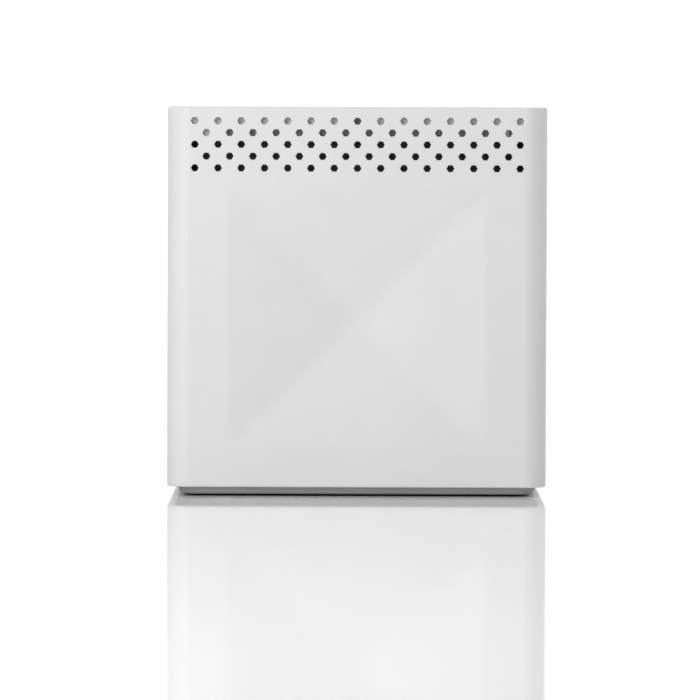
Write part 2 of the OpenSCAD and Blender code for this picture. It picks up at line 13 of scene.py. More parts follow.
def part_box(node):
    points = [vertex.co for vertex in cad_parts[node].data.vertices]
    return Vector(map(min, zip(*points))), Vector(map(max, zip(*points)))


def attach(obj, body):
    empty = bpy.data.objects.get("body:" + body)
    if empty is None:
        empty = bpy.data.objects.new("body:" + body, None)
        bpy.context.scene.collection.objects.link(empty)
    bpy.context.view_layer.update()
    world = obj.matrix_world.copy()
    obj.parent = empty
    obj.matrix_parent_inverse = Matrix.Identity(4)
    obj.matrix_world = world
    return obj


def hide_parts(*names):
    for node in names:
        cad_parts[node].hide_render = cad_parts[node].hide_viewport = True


MM = 0.001
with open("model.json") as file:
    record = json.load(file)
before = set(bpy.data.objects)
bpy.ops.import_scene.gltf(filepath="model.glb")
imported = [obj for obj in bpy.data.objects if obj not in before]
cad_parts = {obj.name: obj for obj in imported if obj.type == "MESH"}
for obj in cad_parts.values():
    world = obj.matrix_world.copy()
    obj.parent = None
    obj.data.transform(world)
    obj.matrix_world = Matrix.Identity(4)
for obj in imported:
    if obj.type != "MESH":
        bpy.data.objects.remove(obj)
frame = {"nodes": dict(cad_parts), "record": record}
NODES = frame["nodes"]
SLOT_OF = {part["node"]: part["material_slot"] for part in frame["record"]["subparts"]}
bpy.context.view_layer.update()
scene = bpy.context.scene


def box_mm(node):
    """Lowest and highest corner of a CAD node, in millimetres."""
    low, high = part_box(node)
    return low / MM, high / MM


# ---------- materials ----------

class Mat:
    """A Principled material with a few shorthands for its node tree."""

    def __init__(self, name, rough, metallic=0.0, ior=1.46, coat=0.0, coat_rough=0.1, sheen=0.0):
        self.mat = bpy.data.materials.new(name)
        self.mat.use_nodes = True
        self.nodes = self.mat.node_tree.nodes
        self.bsdf = self.nodes["Principled BSDF"]
        self.set("Roughness", rough)
        self.set("Metallic", metallic)
        self.set("IOR", ior)
        self.set("Coat Weight", coat)
        self.set("Coat Roughness", coat_rough)
        self.set("Sheen Weight", sheen)
        self.at = self.new("ShaderNodeTexCoord").outputs["Object"]

    def set(self, socket, value):
        self.bsdf.inputs[socket].default_value = value

    def new(self, kind, **settings):
        node = self.nodes.new(kind)
        for key, value in settings.items():
            setattr(node, key, value)
        return node

    def link(self, out, into):
        self.mat.node_tree.links.new(out, into)

    def plug(self, node, name, value):
        """Links an output, or sets a plain number, on a node's input."""
        if isinstance(value, bpy.types.NodeSocket):
            self.link(value, node.inputs[name])
        else:
            node.inputs[name].default_value = value

    def stretched(self, stretch):
        node = self.new("ShaderNodeMapping")
        self.link(self.at, node.inputs["Vector"])
        node.inputs["Scale"].default_value = stretch
        return node.outputs["Vector"]

    def noise(self, size_mm, detail=2.0, stretch=None):
        """Soft noise whose blobs are about size_mm across."""
        node = self.new("ShaderNodeTexNoise")
        self.link(self.stretched(stretch) if stretch else self.at, node.inputs["Vector"])
        node.inputs["Scale"].default_value = 1 / (size_mm * MM)
        node.inputs["Detail"].default_value = detail
        return node.outputs["Fac"]

    def cells(self, size_mm, feature="F1"):
        node = self.new("ShaderNodeTexVoronoi", feature=feature)
        self.link(self.at, node.inputs["Vector"])
        node.inputs["Scale"].default_value = 1 / (size_mm * MM)
        return node.outputs["Distance"]

    def axis(self, name):
        """One coordinate, in millimetres."""
        split = self.new("ShaderNodeSeparateXYZ")
        self.link(self.at, split.inputs["Vector"])
        return self.maths("MULTIPLY", split.outputs[name], 1 / MM)

    def maths(self, operation, a, b=0.0):
        node = self.new("ShaderNodeMath", operation=operation)
        self.plug(node, 0, a)
        self.plug(node, 1, b)
        return node.outputs[0]

    def ramp(self, value, low, high, to_low=0.0, to_high=1.0):
        node = self.new("ShaderNodeMapRange")
        self.plug(node, "Value", value)
        for key, number in (("From Min", low), ("From Max", high), ("To Min", to_low), ("To Max", to_high)):
            node.inputs[key].default_value = number
        return node.outputs["Result"]

    def stripes(self, axis, pitch, width):
        """1 on stripes of that width, 0 between them, across one axis, in millimetres."""
        wave = self.maths("PINGPONG", self.axis(axis), pitch / 2)
        return self.ramp(wave, width / 2 + 0.02, width / 2 - 0.02)

    def mix(self, fac, a, b):
        node = self.new("ShaderNodeMix", data_type="RGBA")
        self.plug(node, 0, fac)
        for index, value in ((6, a), (7, b)):
            self.plug(node, index, value if isinstance(value, bpy.types.NodeSocket) else (*value, 1))
        return node.outputs[2]

    def color(self, value):
        self.plug(self.bsdf, "Base Color", value)

    def rough(self, value):
        self.plug(self.bsdf, "Roughness", value)

    def bump(self, height, depth_mm, strength=1.0):
        """Adds a bump of that depth to those that are already there."""
        node = self.new("ShaderNodeBump")
        node.inputs["Strength"].default_value = strength
        node.inputs["Distance"].default_value = depth_mm * MM
        self.link(height, node.inputs["Height"])
        before = self.bsdf.inputs["Normal"]
        if before.is_linked:
            self.link(before.links[0].from_socket, node.inputs["Normal"])
        self.link(node.outputs["Normal"], before)


def shade(color, factor):
    return tuple(min(1.0, c * factor) for c in color)


def moulded(name, color, rough, texture_mm=0.35, depth_mm=0.004, vary=0.04, **extra):
    """Moulded plastic or rubber: fine spark texture, faint flow marks and uneven gloss.

    No texture is raised where depth_mm is 0.
    """
    m = Mat(name, rough, **extra)
    flow = m.noise(14, 3)
    m.color(m.mix(m.ramp(flow, 0.3, 0.7), shade(color, 1 - vary), shade(color, 1 + vary)))
    m.rough(m.ramp(m.noise(3.5, 4), 0.3, 0.7, rough * 0.88, rough * 1.12))
    if depth_mm:
        m.bump(m.noise(texture_mm, 3), depth_mm)
    return m


def sheet_metal(name, color, rough, stretch=(1, 1, 14), lines_mm=0.5, **extra):
    """Bare or plated sheet: drawn lines, with stains in its gloss."""
    m = Mat(name, rough, metallic=1.0, **extra)
    lines = m.noise(lines_mm, 3, stretch)
    m.color(m.mix(m.ramp(m.noise(5, 4), 0.3, 0.7), shade(color, 0.9), shade(color, 1.06)))
    m.rough(m.ramp(lines, 0.25, 0.75, rough - 0.08, rough + 0.1))
    m.bump(lines, 0.006)
    return m


def clear(name, color, rough, transmission):
    m = moulded(name, color, rough, 0.6, 0.002)
    m.set("Transmission Weight", transmission)
    return m


def circuit_board(name, mask, track, rough=0.28):
    """Solder mask over tracks, with vias and a faint glass weave."""
    m = Mat(name, rough, ior=1.5, coat=0.3)
    runs = m.maths("MULTIPLY", m.stripes("X", 1.1, 0.34), m.ramp(m.noise(7, 1), 0.47, 0.5))
    runs_across = m.maths("MULTIPLY", m.stripes("Y", 1.1, 0.34), m.ramp(m.noise(9, 1), 0.5, 0.47))
    tracks = m.maths("MAXIMUM", runs, runs_across)
    vias = m.ramp(m.cells(2.6), 0.12, 0.09)
    masked = m.mix(tracks, mask, track)
    m.color(m.mix(vias, masked, (0.75, 0.68, 0.5)))
    m.rough(m.ramp(m.noise(2, 3), 0.3, 0.7, rough - 0.04, rough + 0.08))
    m.bump(tracks, 0.03)
    weave = m.maths("MULTIPLY", m.stripes("X", 0.5, 0.3), m.stripes("Y", 0.5, 0.3))
    m.bump(weave, 0.003)
    return m


def capacitor_can(name, sleeve):
    """Printed sleeve with a pale stripe down one side and a bare top."""
    m = Mat(name, 0.3, metallic=0.6)
    stripe = m.stripes("X", 6.4, 1.2)
    top = m.ramp(m.maths("FRACT", m.maths("MULTIPLY", m.axis("Z"), 0.05)), 0.8, 0.81)
    m.color(m.mix(top, m.mix(stripe, sleeve, (0.6, 0.62, 0.64)), (0.7, 0.7, 0.7)))
    m.rough(m.ramp(m.noise(1.2, 3), 0.3, 0.7, 0.25, 0.4))
    m.bump(m.noise(0.6, 2), 0.006)
    return m


def ribbon(name, film):
    m = Mat(name, 0.32, coat=0.4)
    wires = m.stripes("X", 1.0, 0.5)
    m.color(m.mix(wires, film, shade(film, 0.72)))
    m.rough(m.ramp(m.noise(3, 3), 0.3, 0.7, 0.28, 0.42))
    m.bump(wires, 0.05)
    return m


def aerial(name, mask, track):
    m = Mat(name, 0.3, coat=0.3)
    arms = m.maths("MAXIMUM", m.stripes("Z", 5.5, 1.4), m.stripes("Y", 19, 1.2))
    m.color(m.mix(arms, mask, track))
    m.rough(m.ramp(m.noise(2, 3), 0.3, 0.7, 0.26, 0.4))
    m.bump(arms, 0.035)
    return m


def card_face(name, gold):
    m = Mat(name, 0.3, metallic=0.7)
    cuts = m.maths("MAXIMUM", m.stripes("X", 2.6, 0.22), m.stripes("Y", 2.2, 0.22))
    m.color(m.mix(cuts, gold, (0.85, 0.85, 0.83)))
    m.rough(m.ramp(m.noise(0.8, 3), 0.3, 0.7, 0.22, 0.36))
    m.bump(cuts, 0.02)
    return m


def blank_label(name, film):
    """Silver film with a printed border and faint ruled fields, and no lettering."""
    m = Mat(name, 0.34, metallic=0.35)
    low, high = box_mm("rating_label")
    edge_x = m.ramp(m.maths("ABSOLUTE", m.axis("X")), high.x - 1.3, high.x - 1.2)
    edge_y = m.ramp(m.maths("ABSOLUTE", m.axis("Y")), high.y - 1.3, high.y - 1.2)
    rules = m.maths("MULTIPLY", m.stripes("Y", 6.0, 0.16), m.maths("SUBTRACT", 1.0, edge_x))
    print_on = m.maths("MAXIMUM", m.maths("MAXIMUM", edge_x, edge_y), m.maths("MULTIPLY", rules, 0.6))
    m.color(m.mix(print_on, film, shade(film, 0.45)))
    m.rough(m.ramp(m.noise(1.5, 4), 0.3, 0.7, 0.28, 0.42))
    m.bump(m.noise(0.7, 3), 0.004)
    return m


def glow(name, color, strength):
    m = moulded(name, color, 0.3, 0.4, 0.003)
    m.bsdf.inputs["Emission Color"].default_value = (*color, 1)
    m.bsdf.inputs["Emission Strength"].default_value = strength
    return m


WHITE = (0.795, 0.798, 0.80)
MATERIALS = {
    "shell_white": lambda n: moulded(n, WHITE, 0.4, 0.3, 0.0035, 0.012),
    "button_white": lambda n: moulded(n, (0.74, 0.74, 0.745), 0.36, 0.3, 0.003, 0.02),
    "tray_white": lambda n: moulded(n, (0.76, 0.76, 0.765), 0.4, 0.3, 0.0035, 0.02),
    "base_grey": lambda n: moulded(n, (0.38, 0.38, 0.383), 0.5, 0.3, 0.006, 0.06),
    "frame_black": lambda n: moulded(n, (0.11, 0.11, 0.112), 0.55, 0.35, 0.006, 0.1),
    "panel_grey": lambda n: moulded(n, (0.075, 0.075, 0.08), 0.52, 0.3, 0.006, 0.08),
    "foot_rubber": lambda n: moulded(n, (0.03, 0.03, 0.031), 0.8, 0.5, 0.012, 0.2, sheen=0.25),
    "label_silver": lambda n: blank_label(n, (0.62, 0.62, 0.62)),
    "screw_steel": lambda n: sheet_metal(n, (0.6, 0.6, 0.59), 0.32, (1, 1, 1), 0.4),
    "screw_black": lambda n: sheet_metal(n, (0.05, 0.05, 0.052), 0.38, (1, 1, 1), 0.4),
    "jack_steel": lambda n: sheet_metal(n, (0.68, 0.68, 0.67), 0.28),
    "switch_metal": lambda n: sheet_metal(n, (0.62, 0.62, 0.6), 0.33),
    "can_steel": lambda n: sheet_metal(n, (0.66, 0.66, 0.64), 0.3, (1, 10, 1)),
    "sink_aluminium": lambda n: sheet_metal(n, (0.75, 0.75, 0.76), 0.36, (12, 1, 12), 0.4),
    "contact_gold": lambda n: sheet_metal(n, (0.83, 0.62, 0.28), 0.22, (1, 8, 1), 0.3),
    "plug_gold": lambda n: sheet_metal(n, (0.83, 0.62, 0.28), 0.25, (1, 1, 1), 0.3),
    "jack_plastic": lambda n: moulded(n, (0.03, 0.03, 0.03), 0.48, 0.3, 0.006, 0.12),
    "switch_plastic": lambda n: moulded(n, (0.05, 0.05, 0.06), 0.5, 0.3, 0.006, 0.12),
    "usb_blue": lambda n: moulded(n, (0.02, 0.02, 0.02), 0.42, 0.3, 0.004, 0.12),
    "reset_red": lambda n: moulded(n, (0.5, 0.04, 0.03), 0.45, 0.25, 0.004, 0.08),
    "ferrite_grey": lambda n: moulded(n, (0.1, 0.1, 0.1), 0.62, 0.15, 0.012, 0.25),
    "lead_black": lambda n: moulded(n, (0.02, 0.02, 0.02), 0.4, 0.4, 0.003, 0.15),
    "lead_grey": lambda n: moulded(n, (0.3, 0.3, 0.3), 0.4, 0.4, 0.003, 0.08),
    "connector_ivory": lambda n: moulded(n, (0.72, 0.68, 0.56), 0.45, 0.3, 0.004, 0.05),
    "pin_white": lambda n: moulded(n, (0.8, 0.8, 0.78), 0.42, 0.3, 0.004, 0.04),
    "chip_black": lambda n: moulded(n, (0.03, 0.03, 0.03), 0.55, 0.18, 0.008, 0.15),
    "pad_blue": lambda n: moulded(n, (0.3, 0.42, 0.5), 0.7, 0.5, 0.02, 0.08),
    "light_pipe": lambda n: clear(n, (0.85, 0.88, 0.9), 0.16, 0.7),
    "lamp_yellow": lambda n: glow(n, (0.8, 0.75, 0.45), 0.4),
    "board_green": lambda n: circuit_board(n, (0.012, 0.1, 0.045), (0.03, 0.2, 0.09)),
    "board_black": lambda n: circuit_board(n, (0.012, 0.012, 0.013), (0.05, 0.05, 0.052)),
    "capacitor_sleeve": lambda n: capacitor_can(n, (0.05, 0.08, 0.16)),
    "aerial_laminate": lambda n: aerial(n, (0.02, 0.02, 0.02), (0.42, 0.27, 0.12)),
    "ribbon_white": lambda n: ribbon(n, (0.8, 0.8, 0.78)),
    "card_gold": lambda n: card_face(n, (0.78, 0.6, 0.3)),
}
made = {slot: build(slot).mat for slot, build in MATERIALS.items()}
for name, node in NODES.items():
    node.data.materials.clear()
    node.data.materials.append(made[SLOT_OF[name]])


# ---------- mesh helpers ----------

class Shape:
    """Collects faces by their corners, in millimetres, and welds corners that coincide."""

    def __init__(self):
        self.index, self.points, self.faces = {}, [], []

    def corner(self, p):
        key = tuple(round(c, 4) for c in p)
        if key not in self.index:
            self.index[key] = len(self.points)
            self.points.append(Vector(p) * MM)
        return self.index[key]

    def face(self, *corners):
        ids = []
        for p in corners:
            i = self.corner(p)
            if i not in ids:
                ids.append(i)
        if len(ids) > 2:
            self.faces.append(ids)

    def band(self, loops, closed=True):
        """Quads from each loop of points to the next."""
        for a, b in zip(loops, loops[1:]):
            n = len(a)
            for i in range(n if closed else n - 1):
                j = (i + 1) % n
                self.face(a[i], a[j], b[j], b[i])

    def build(self, name, slot, body="router", sharp=35):
        """The mesh as an object that rides on a body; edges sharper than that angle stay crisp."""
        mesh = bpy.data.meshes.new(name)
        mesh.from_pydata(self.points, [], self.faces)
        bm = bmesh.new()
        bm.from_mesh(mesh)
        bmesh.ops.recalc_face_normals(bm, faces=bm.faces)
        limit = math.radians(sharp)
        for edge in bm.edges:
            edge.smooth = edge.calc_face_angle(math.pi) <= limit
        for f in bm.faces:
            f.smooth = True
        bm.to_mesh(mesh)
        bm.free()
        mesh.materials.append(made[slot])
        obj = bpy.data.objects.new(name, mesh)
        scene.collection.objects.link(obj)
        even = obj.modifiers.new("even normals", "WEIGHTED_NORMAL")
        even.keep_sharp = True
        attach(obj, body)
        return obj


def arc(steps, start=0.0, end=90.0):
    """Cosine and sine along an arc, end points included."""
    turn = [math.radians(start + (end - start) * i / steps) for i in range(steps + 1)]
    return [(math.cos(a), math.sin(a)) for a in turn]


# ---------- casing ----------

CORNER_R = 6.0
WALL = 2.2
LIP_R, TOP_R = 0.5, 0.6
VENT_AF, VENT_PITCH, VENT_ROW, VENT_TOP = 1.7, 5.8, 2.94, 3.6
VENT_COUNT, VENT_ROWS = 15, 5
VENT_RIM, WINDOW_RIM = 0.16, 0.35
FACET_HALF, FACET_Z, FACET_EDGE_R = 33.0, 44.4, 12.0
FACET_SLOPE = math.radians(8)
FACET_WALL = 1.6
BEND_STEPS, CREASE = 5, 2.2
RIM_CHAMFER, LIP_CHAMFER = 0.2, 0.3
WINDOW_X, WINDOW_Z, WINDOW_R = 39.0, (9.8, 27.6), 1.5
SIM_GAP = 0.3
tray_low, tray_high = box_mm("sim_tray")
SIM_Y, SIM_Z = (tray_low.y + tray_high.y) / 2, (tray_low.z + tray_high.z) / 2
SIM_W, SIM_H = tray_high.y - tray_low.y + SIM_GAP, tray_high.z - tray_low.z + SIM_GAP
casing_low, casing_high = box_mm("outer_casing")
HALF = casing_high.x
LIP_Z, RIM_Z = casing_low.z, casing_high.z
STRAIGHT = HALF - CORNER_R
EDGE = STRAIGHT + 0.4
CORNER_S = STRAIGHT + CORNER_R * math.pi / 4
CORNER_STEPS = 8
side_columns = [EDGE + (CORNER_S - EDGE) * i / CORNER_STEPS for i in range(CORNER_STEPS + 1)]
all_columns = [-s for s in reversed(side_columns)] + side_columns


def on_side(side, s, z, depth):
    """A point of the wall: s runs to the right along the outside of a side, depth goes in."""
    over = max(0.0, abs(s) - STRAIGHT) / CORNER_R
    along = math.copysign(min(abs(s), STRAIGHT) + (CORNER_R - depth) * math.sin(over), s)
    out = STRAIGHT + (CORNER_R - depth) * math.cos(over)
    x, y = along, -out
    for _ in range(side):
        x, y = -y, x
    return (x, y, z)


def hexagon(grow):
    reach = (VENT_AF / 2 + grow) / math.cos(math.pi / 6)
    return [(reach * math.cos(k * math.pi / 3), reach * math.sin(k * math.pi / 3)) for k in range(6)]


def rounded_slot(half_w, half_h, r, grow, steps=6):
    """Outline of a rounded rectangle, counter-clockwise from its right-hand side."""
    w, h, r = half_w - r, half_h - r, r + grow
    points = []
    for turn, (x, z) in enumerate(((w, h), (-w, h), (-w, -h), (w, -h))):
        points += [(x + r * c, z + r * s) for c, s in arc(steps, 90 * turn, 90 * turn + 90)]
    return points


def opening(shape, side, outline, at, rim):
    """A hole through the wall with a rounded outer rim. Returns its outer and inner loops."""
    loops = [(rim * (1 - s), rim * (1 - c)) for c, s in arc(3)] + [(0.0, WALL)]
    rings = [[on_side(side, at[0] + x, at[1] + z, depth) for x, z in outline(grow)] for grow, depth in loops]
    shape.band(rings)
    return rings[0], rings[-1]


def vent_cell(shape, side, s, z, left, right):
    """One vent hole and the patch of wall round it, outside and inside."""
    h = VENT_ROW / 2
    patch = [(right, h), (s, h), (left, h), (left, -h), (s, -h), (right, -h)]
    for hole, depth in zip(opening(shape, side, hexagon, (s, z), VENT_RIM), (0.0, WALL)):
        border = [on_side(side, x, z + dz, depth) for x, dz in patch]
        for k in range(6):
            shape.face(hole[k], border[k - 1], border[k])
            shape.face(hole[k], border[k], hole[(k + 1) % 6])


def vents(shape, side):
    """All the vent rows of a side. Returns the s of the points along the field's top and bottom borders."""
    for row in range(VENT_ROWS):
        count = VENT_COUNT - row % 2
        z = RIM_Z - VENT_TOP - row * VENT_ROW
        for i in range(count):
            s = (i - (count - 1) / 2) * VENT_PITCH
            vent_cell(shape, side, s, z, max(s - VENT_PITCH / 2, -EDGE), min(s + VENT_PITCH / 2, EDGE))
        if row % 2:
            last = (VENT_COUNT - 1) / 2 * VENT_PITCH
            for depth in (0.0, WALL):
                for a, b in ((-EDGE, -last), (last, EDGE)):
                    ends = [(a, -1), (b, -1), (b, 1), (a, 1)]
                    shape.face(*[on_side(side, s, z + e * VENT_ROW / 2, depth) for s, e in ends])
    steps = [i * VENT_PITCH / 2 for i in range(1 - VENT_COUNT, VENT_COUNT)]
    return [-EDGE, *steps, EDGE]


def facet_depth(u):
    """Depth of the faceted dish at a distance u from its centre, along either axis."""
    inner = FACET_HALF - FACET_EDGE_R * math.sin(FACET_SLOPE)
    if u >= inner:
        t = (FACET_HALF - u) / FACET_EDGE_R
        return FACET_EDGE_R * (1 - math.sqrt(1 - t * t))
    return FACET_EDGE_R * (1 - math.cos(FACET_SLOPE)) + (inner - u) * math.tan(FACET_SLOPE)


def pyramid(shape, side, rings, soften=0.0):
    """Square rings given as (distance from the centre, depth), down to the last, the centre.

    Soften is how far the facets stop short of the crease where they meet.
    """
    loops = []
    for k, (u, d) in enumerate(rings):
        cut = u - soften * min(1.0, k / BEND_STEPS) if 0 < k < len(rings) - 1 else u
        square = [(u, cut), (cut, u), (-cut, u), (-u, cut), (-u, -cut), (-cut, -u), (cut, -u), (u, -cut)]
        loops.append([on_side(side, s, FACET_Z + z, d) for s, z in square])
    shape.band(loops)


def facets(shape, side):
    bend = [FACET_HALF - FACET_EDGE_R * math.sin(FACET_SLOPE * i / BEND_STEPS) for i in range(BEND_STEPS + 1)]
    pyramid(shape, side, [(u, facet_depth(u)) for u in (*bend, 2 * CREASE, 0.0)], CREASE)
    inner = FACET_HALF - FACET_EDGE_R * math.sin(FACET_SLOPE)
    starts = inner - (WALL - FACET_WALL - facet_depth(inner)) / math.tan(FACET_SLOPE)
    pyramid(shape, side, [(starts, WALL), (0.0, facet_depth(0.0) + FACET_WALL)])
    return FACET_HALF, starts


def casing():
    """The sleeve: rim and lip, vents, facets on three sides, the ports' window and the SIM slot."""
    shape = Shape()
    top_rounding = [(TOP_R * (1 - c), RIM_Z - TOP_R * (1 - s)) for c, s in arc(5)]
    lip_rounding = [(LIP_R * (1 - c), LIP_Z + LIP_R * (1 - s)) for c, s in arc(5)]
    rim = [*top_rounding, (WALL - RIM_CHAMFER, RIM_Z), (WALL, RIM_Z - RIM_CHAMFER)]
    lip = [*lip_rounding, (WALL - LIP_CHAMFER, LIP_Z), (WALL, LIP_Z + LIP_CHAMFER)]
    vents_low = RIM_Z - VENT_TOP - (VENT_ROWS - 0.5) * VENT_ROW
    rows = [vents_low + VENT_ROW * i for i in range(VENT_ROWS + 1)]
    low_z, high_z = FACET_Z - FACET_HALF, FACET_Z + FACET_HALF
    for side in range(4):
        for profile in (rim, lip):
            shape.band([[on_side(side, s, z, d) for s in all_columns] for d, z in profile], closed=False)
        steps = vents(shape, side)
        dish = facets(shape, side) if side != 2 else None
        for depth, upper, lower in ((0.0, rim[0][1], lip[0][1]), (WALL, rim[-1][1], lip[-1][1])):
            levels = [lower, low_z, high_z, *rows, upper]
            for columns in (side_columns, [-s for s in side_columns]):
                loops = [[on_side(side, s, z, depth) for s in columns] for z in levels]
                shape.band(loops, closed=False)
            at = lambda s, z: on_side(side, s, z, depth)
            shape.face(*[at(s, rows[-1]) for s in steps], at(EDGE, upper), at(-EDGE, upper))
            if dish:
                u = dish[0] if depth == 0 else dish[1]
                w = [at(-u, FACET_Z - u), at(u, FACET_Z - u), at(u, FACET_Z + u), at(-u, FACET_Z + u)]
                shape.face(at(-EDGE, high_z), w[3], w[2], at(EDGE, high_z),
                           *[at(s, rows[0]) for s in reversed(steps)])
                shape.face(at(-EDGE, low_z), w[0], w[3], at(-EDGE, high_z))
                shape.face(w[1], at(EDGE, low_z), at(EDGE, high_z), w[2])
        # the wall below, with the SIM slot on the left and the ports' window at the back
        if side == 2:
            low, high = WINDOW_Z
            outline = lambda grow: rounded_slot(WINDOW_X, (high - low) / 2, WINDOW_R, grow)
            holes = opening(shape, side, outline, (0, (low + high) / 2), WINDOW_RIM)
        elif side == 3:
            outline = lambda grow: rounded_slot(SIM_W / 2, SIM_H / 2, SIM_H / 2, grow)
            holes = opening(shape, side, outline, (-SIM_Y, SIM_Z), VENT_RIM)
        else:
            holes = (None, None)
        for depth, lower, hole in ((0.0, lip[0][1], holes[0]), (WALL, lip[-1][1], holes[1])):
            at = lambda s, z: on_side(side, s, z, depth)
            if side == 2:
                border = [at(EDGE, low_z), at(EDGE, high_z)]
                border += [at(s, rows[0]) for s in reversed(steps)]
                border += [at(-EDGE, high_z), at(-EDGE, low_z)]
            else:
                u = dish[0] if depth == 0 else dish[1]
                border = [at(EDGE, low_z), at(u, FACET_Z - u), at(-u, FACET_Z - u), at(-EDGE, low_z)]
            start, end = at(-EDGE, lower), at(EDGE, lower)
            if hole:
                n = len(hole)
                shape.face(start, end, hole[0], *reversed(hole[n // 2:]))
                shape.face(end, *border, start, *reversed(hole[:n // 2 + 1]))
            else:
                shape.face(start, end, *border)
    piece = shape.build("casing_shell", "shell_white")
    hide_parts("outer_casing")
    return piece


casing()


# ---------- baffle behind the second row of vents ----------

def vent_baffle():
    """A pale strip round the frame's collar, with a bead along its top and bottom."""
    frame_high = box_mm("inner_frame")[1]
    top, bottom = frame_high.z - 0.1, frame_high.z - 2.8
    collar = HALF - frame_high.y
    back, skin, bead = collar + 0.05, collar - 0.3, collar - 0.4
    profile = [(back, bottom), (skin, bottom), (bead, bottom + 0.15), (skin, bottom + 0.3),
               (skin, top - 0.3), (bead, top - 0.15), (skin, top), (back, top)]
    shape = Shape()
    loops = [[on_side(side, s, z, d) for side in range(4) for s in all_columns] for d, z in profile]
    shape.band([*loops, loops[0]])
    shape.build("vent_baffle", "shell_white")


vent_baffle()


# ---------- printed symbols ----------

INK = (-0.04, 0.02)             # bottom and top of the ink, from the surface that it is on


def ring(r, x=0.0, y=0.0, start=0.0, end=360.0, squash=1.0):
    """An arc or a whole circle, squashed along x if asked."""
    return [(x + squash * r * c, y + r * s) for c, s in arc(24, start, end)]


def block(w, h, x=0.0, y=0.0):
    """The outline of a rectangle."""
    return [(x + w / 2 * i, y + h / 2 * j) for i, j in ((-1, -1), (1, -1), (1, 1), (-1, 1), (-1, -1))]


def stroke(shape, place, path, width):
    """A printed line along a path; a path that ends where it starts is a loop."""
    path = [Vector(p) for p in path]
    loop = (path[0] - path[-1]).length < 1e-6
    if loop:
        path.pop()
    n = len(path)
    sections = []
    for i, p in enumerate(path):
        ways = []
        if i or loop:
            ways.append((p - path[i - 1]).normalized())
        if i < n - 1 or loop:
            ways.append((path[(i + 1) % n] - p).normalized())
        along = sum(ways, Vector((0, 0))).normalized()
        across = Vector((-along.y, along.x)) * width / 2 / max(0.5, along.dot(ways[0]))
        edge = [(p + across, INK[0]), (p + across, INK[1]), (p - across, INK[1]), (p - across, INK[0])]
        sections.append([place(q.x, q.y, h) for q, h in edge])
    if loop:
        shape.band([*sections, sections[0]])
    else:
        shape.band(sections)
        shape.face(*sections[0])
        shape.face(*sections[-1])


SYMBOLS = {
    "power": [ring(1.0, start=125, end=415), [(0, 0.25), (0, 1.3)]],
    "direct": [[(-1.2, 0.35), (1.2, 0.35)]] + [[(x, -0.3), (x + 0.55, -0.3)] for x in (-1.2, -0.275, 0.65)],
    "globe": [ring(1.15), ring(1.15, squash=0.45), [(-1.15, 0), (1.15, 0)]],
    "network": [block(0.95, 0.7, 0, 0.8), block(0.95, 0.7, -0.95, -0.8), block(0.95, 0.7, 0.95, -0.8),
                [(0, 0.45), (0, 0)], [(-0.95, -0.45), (-0.95, 0), (0.95, 0), (0.95, -0.45)]],
    "plug": [block(1.9, 1.1, 0, -0.1), [(-0.5, 0.45), (-0.5, 1.15)], [(0.5, 0.45), (0.5, 1.15)],
             [(0, -0.65), (0, -1.3)]],
    "restart": [ring(1.0, start=40, end=320), [(0.1, 0.75), (0.78, 0.66), (0.86, 1.3)]],
    "bars": [[(x, -1.0), (x, -0.4 + 0.45 * i)] for i, x in enumerate((-1.05, -0.35, 0.35, 1.05))],
    "waves": [ring(r, 0, -1.0, 45, 135) for r in (0.75, 1.4, 2.05)] + [ring(0.12, 0, -1.0)],
    "letter": [block(2.3, 1.6), [(-1.1, 0.75), (0, -0.15), (1.1, 0.75)]],
    "card": [[(-0.75, -1.05), (0.75, -1.05), (0.75, 0.5), (0.2, 1.05), (-0.75, 1.05), (-0.75, -1.05)],
             block(0.75, 0.6, 0, -0.4)],
    "join": [ring(r, 0, 0, start, start + 100) for r in (1.7, 3.0) for start in (-50, 130)] + [ring(0.3)],
}


def symbols(name, slot, spots, width, body="router"):
    """One piece of printed symbols, each given as (symbol, the place it goes to)."""
    shape = Shape()
    for symbol, place in spots:
        for path in SYMBOLS[symbol]:
            stroke(shape, place, path, width)
    shape.build(name, slot, body, sharp=60)


def on_wall(side, s, z, scale=1.0):
    return lambda u, v, h: on_side(side, s + u * scale, z + v * scale, -h)


def on_cover(x, y, scale=1.0):
    return lambda u, v, h: (x + u * scale, y + v * scale, cover_top + h)


def middle_x(node):
    low, high = box_mm(node)
    return (low.x + high.x) / 2


cover_top = box_mm("light_guide")[1].z
SYMBOL_RISE, SIM_SYMBOL_GAP = 3.6, 2.2      # above the lip, and from the SIM slot
WALL_SCALE, COVER_SCALE = 0.95, 0.8
LAMP_Y, LAMP_PITCH, LAMP_SYMBOL_DROP = -39.0, 8.0, 3.2
BUTTON_DIP, BUTTON_EDGE_R = 0.25, 0.5
ports = {"power_button": "power", "power_jack": "direct", "wan_jack_shell": "globe",
         "lan_jack_shell": "network", "usb_port_shell": "plug", "reset_button": "restart"}
symbols("port_symbols", "lead_grey",
        [(symbol, on_wall(2, -middle_x(node), LIP_Z + SYMBOL_RISE, WALL_SCALE))
         for node, symbol in ports.items()], 0.22)
symbols("sim_symbol", "lead_grey",
        [("card", on_wall(3, -SIM_Y - SIM_W / 2 - SIM_SYMBOL_GAP, SIM_Z, WALL_SCALE))], 0.2)
lamp_spots = [on_cover(LAMP_PITCH * i, LAMP_Y - LAMP_SYMBOL_DROP, COVER_SCALE) for i in range(-2, 3)]
symbols("lamp_symbols", "lead_grey",
        list(zip(("power", "globe", "bars", "waves", "letter"), lamp_spots)), 0.18)

button_high = box_mm("pairing_button")[1]


def on_button(u, v, h):
    """The button's top is a shallow cone."""
    out = math.hypot(u, v) / (button_high.x - BUTTON_EDGE_R)
    return (u, v, button_high.z - BUTTON_DIP * (1 - out) + h)


symbols("pairing_symbol", "lead_grey", [("join", on_button)], 0.32, "pairing_button")


